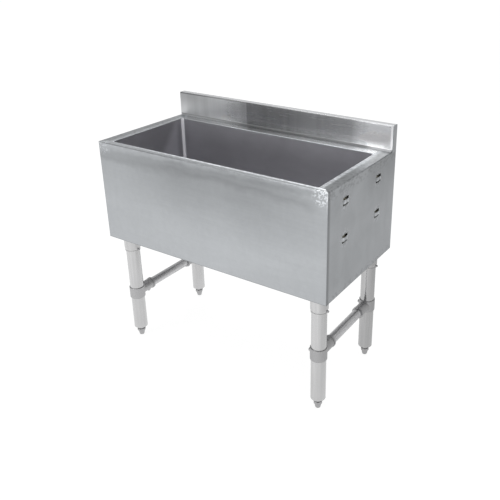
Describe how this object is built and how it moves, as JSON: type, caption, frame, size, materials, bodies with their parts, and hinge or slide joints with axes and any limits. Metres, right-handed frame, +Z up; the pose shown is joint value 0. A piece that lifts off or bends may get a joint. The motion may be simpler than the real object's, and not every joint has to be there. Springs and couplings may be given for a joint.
{
  "type": "underbar ice chest",
  "caption": "Open-topped insulated ice bin in a folded steel box with a low backsplash, on tubular legs with levelling feet and side rails.",
  "frame": {"origin": "on the floor, under the centre of the chest's overall box", "axes": "+X along the length to the right as seen from the front, +Y from the front to the backsplash, +Z up"},
  "size_m": [0.9214, 0.4572, 0.8889],
  "materials": {
    "stainless_sheet": "satin",
    "stainless_liner": "satin",
    "galvanised_sheet": "matte",
    "foam_board": "matte",
    "drain_brass": "satin",
    "gasket_rubber": "matte",
    "fibre_washer": "matte",
    "strainer_steel": "satin",
    "leg_tube": "satin",
    "foot_metal": "satin",
    "clamp_casting": "satin",
    "galvanised_tube": "satin",
    "zinc_fastener": "satin"
  },
  "bodies": {
    "chest": {"front_panel": "stainless_sheet", "left_panel": "stainless_sheet", "right_panel": "stainless_sheet", "back_panel": "stainless_sheet", "bottom_pan": "galvanised_sheet", "liner": "stainless_liner", "backsplash": "stainless_sheet", "splash_end_left": "stainless_sheet", "splash_end_right": "stainless_sheet", "insulation_front": "foam_board", "insulation_back": "foam_board", "insulation_left": "foam_board", "insulation_right": "foam_board", "insulation_bottom": "foam_board", "drain_body": "drain_brass", "drain_gasket": "gasket_rubber", "drain_washer": "fibre_washer", "drain_locknut": "drain_brass", "leg_channel_left": "galvanised_sheet", "leg_channel_right": "galvanised_sheet", "socket_front_left": "leg_tube", "socket_front_right": "leg_tube", "socket_rear_left": "leg_tube", "socket_rear_right": "leg_tube", "leg_front_left": "leg_tube", "leg_front_right": "leg_tube", "leg_rear_left": "leg_tube", "leg_rear_right": "leg_tube", "insert_front_left": "foot_metal", "insert_front_right": "foot_metal", "insert_rear_left": "foot_metal", "insert_rear_right": "foot_metal", "clamp_front_left": "clamp_casting", "clamp_front_right": "clamp_casting", "clamp_rear_left": "clamp_casting", "clamp_rear_right": "clamp_casting", "side_rail_left": "galvanised_tube", "side_rail_right": "galvanised_tube", "socket_bolts": "zinc_fastener", "socket_nuts": "zinc_fastener", "socket_set_screws": "zinc_fastener", "clamp_screws": "zinc_fastener"},
    "foot_front_left": {"foot_front_left": "foot_metal"},
    "foot_front_right": {"foot_front_right": "foot_metal"},
    "foot_rear_left": {"foot_rear_left": "foot_metal"},
    "foot_rear_right": {"foot_rear_right": "foot_metal"},
    "strainer": {"drain_strainer": "strainer_steel"}
  },
  "joints": [
    {"name": "level_front_left", "type": "slide", "parent": "chest", "child": "foot_front_left", "axis": [0, 0, -1], "range_m": [-0.006, 0.025]},
    {"name": "level_front_right", "type": "slide", "parent": "chest", "child": "foot_front_right", "axis": [0, 0, -1], "range_m": [-0.006, 0.025]},
    {"name": "level_rear_left", "type": "slide", "parent": "chest", "child": "foot_rear_left", "axis": [0, 0, -1], "range_m": [-0.006, 0.025]},
    {"name": "level_rear_right", "type": "slide", "parent": "chest", "child": "foot_rear_right", "axis": [0, 0, -1], "range_m": [-0.006, 0.025]},
    {"name": "strainer_lift", "type": "slide", "parent": "chest", "child": "strainer", "axis": [0, 0, 1], "range_m": [0, 0.32]}
  ]
}
